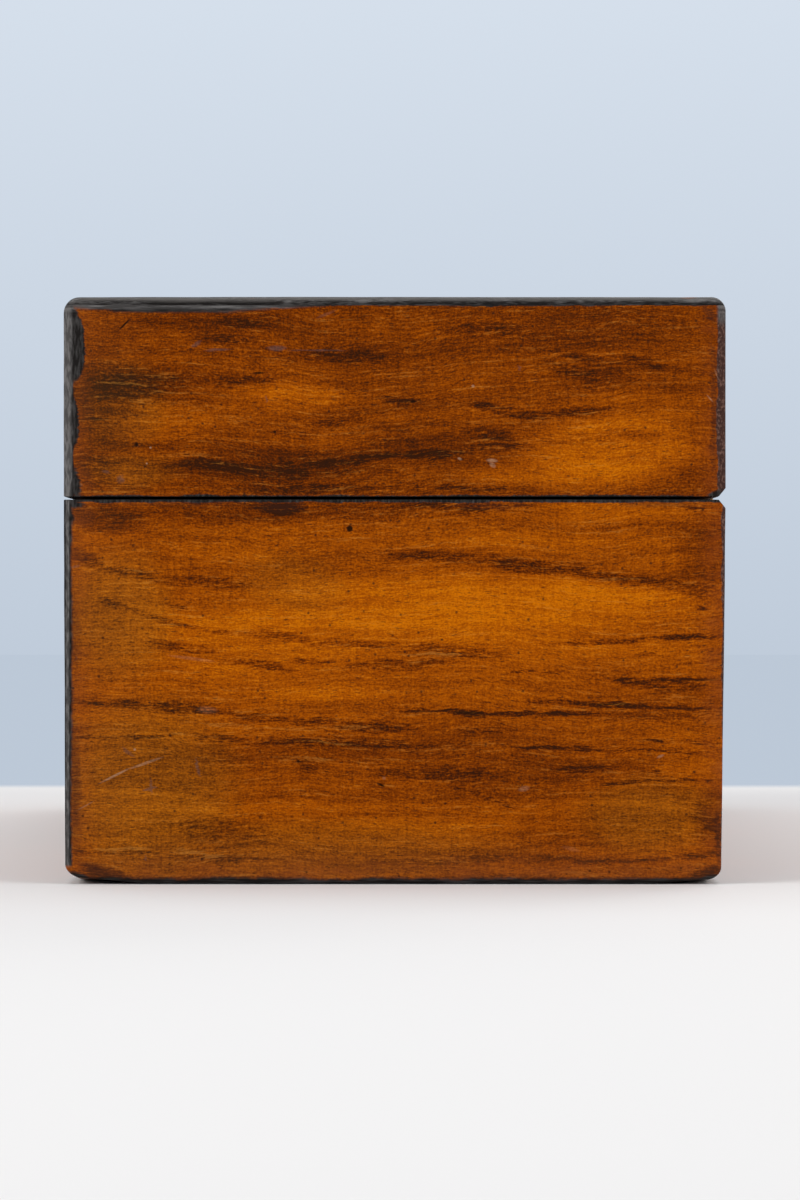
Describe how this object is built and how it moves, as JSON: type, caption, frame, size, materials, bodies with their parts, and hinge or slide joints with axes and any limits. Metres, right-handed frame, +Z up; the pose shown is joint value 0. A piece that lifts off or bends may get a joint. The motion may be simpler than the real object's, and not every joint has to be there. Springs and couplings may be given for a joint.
{
  "type": "antique glove box",
  "caption": "Long walnut-veneered box with ebonised strips, a hinged lid that stops on its back chamfers, a box lock with a sliding bolt, and a silk-lined inside with pads",
  "frame": {"origin": "on the table, under the middle of the box", "axes": "+X along the box to its right-hand end, -Y out of the front with the keyhole, +Y to the hinges, +Z up"},
  "size_m": [0.29, 0.11, 0.0975],
  "materials": {
    "walnut_veneer": "warm amber walnut veneer, satin shellac polish, grain along the face",
    "ebonised_strip": "ebonised strip, satin, worn grey on the arrises",
    "carcass_mahogany": "plain planed carcass wood, dull",
    "aged_brass": "aged brass, rubbed bright on the edges",
    "lock_steel": "plain steel, slightly dull",
    "silk_lining": "faded crimson silk over card and wadding"
  },
  "bodies": {
    "base": {"base_back_left_strip": "ebonised_strip", "base_back_right_strip": "ebonised_strip", "base_back_veneer": "walnut_veneer", "base_back_wall": "carcass_mahogany", "base_front_left_strip": "ebonised_strip", "base_front_right_strip": "ebonised_strip", "base_front_veneer": "walnut_veneer", "base_front_wall": "carcass_mahogany", "base_left_veneer": "walnut_veneer", "base_left_wall": "carcass_mahogany", "base_lining": "silk_lining", "base_right_veneer": "walnut_veneer", "base_right_wall": "carcass_mahogany", "bottom_board": "carcass_mahogany", "floor_pad": "silk_lining", "keyhole_escutcheon": "aged_brass", "left_hinge_base_leaf": "aged_brass", "left_hinge_base_screw_1": "aged_brass", "left_hinge_base_screw_2": "aged_brass", "left_hinge_pin": "aged_brass", "lock_cap": "aged_brass", "lock_case": "aged_brass", "lock_drill_pin": "lock_steel", "lock_left_screw": "aged_brass", "lock_right_screw": "aged_brass", "right_hinge_base_leaf": "aged_brass", "right_hinge_base_screw_1": "aged_brass", "right_hinge_base_screw_2": "aged_brass", "right_hinge_pin": "aged_brass"},
    "lid": {"left_hinge_lid_leaf": "aged_brass", "left_hinge_lid_screw_1": "aged_brass", "left_hinge_lid_screw_2": "aged_brass", "lid_back_left_strip": "ebonised_strip", "lid_back_right_strip": "ebonised_strip", "lid_back_veneer": "walnut_veneer", "lid_back_wall": "carcass_mahogany", "lid_front_left_strip": "ebonised_strip", "lid_front_right_strip": "ebonised_strip", "lid_front_veneer": "walnut_veneer", "lid_front_wall": "carcass_mahogany", "lid_left_veneer": "walnut_veneer", "lid_left_wall": "carcass_mahogany", "lid_lining": "silk_lining", "lid_pad": "silk_lining", "lid_right_veneer": "walnut_veneer", "lid_right_wall": "carcass_mahogany", "lid_top_back_strip": "ebonised_strip", "lid_top_front_strip": "ebonised_strip", "lid_top_left_strip": "ebonised_strip", "lid_top_right_strip": "ebonised_strip", "lid_top_veneer": "walnut_veneer", "link_plate": "aged_brass", "link_plate_left_screw": "aged_brass", "link_plate_right_screw": "aged_brass", "right_hinge_lid_leaf": "aged_brass", "right_hinge_lid_screw_1": "aged_brass", "right_hinge_lid_screw_2": "aged_brass", "top_board": "carcass_mahogany"},
    "bolt": {"lock_bolt": "lock_steel"}
  },
  "joints": [
    {"name": "lid_hinge", "type": "hinge", "parent": "base", "child": "lid", "pos_m": [0, 0.0537, 0.06405], "axis": [-1, 0, 0], "range_deg": [0, 98]},
    {"name": "lock_bolt_slide", "type": "slide", "parent": "base", "child": "bolt", "axis": [1, 0, 0], "range_m": [0, 0.004]}
  ]
}
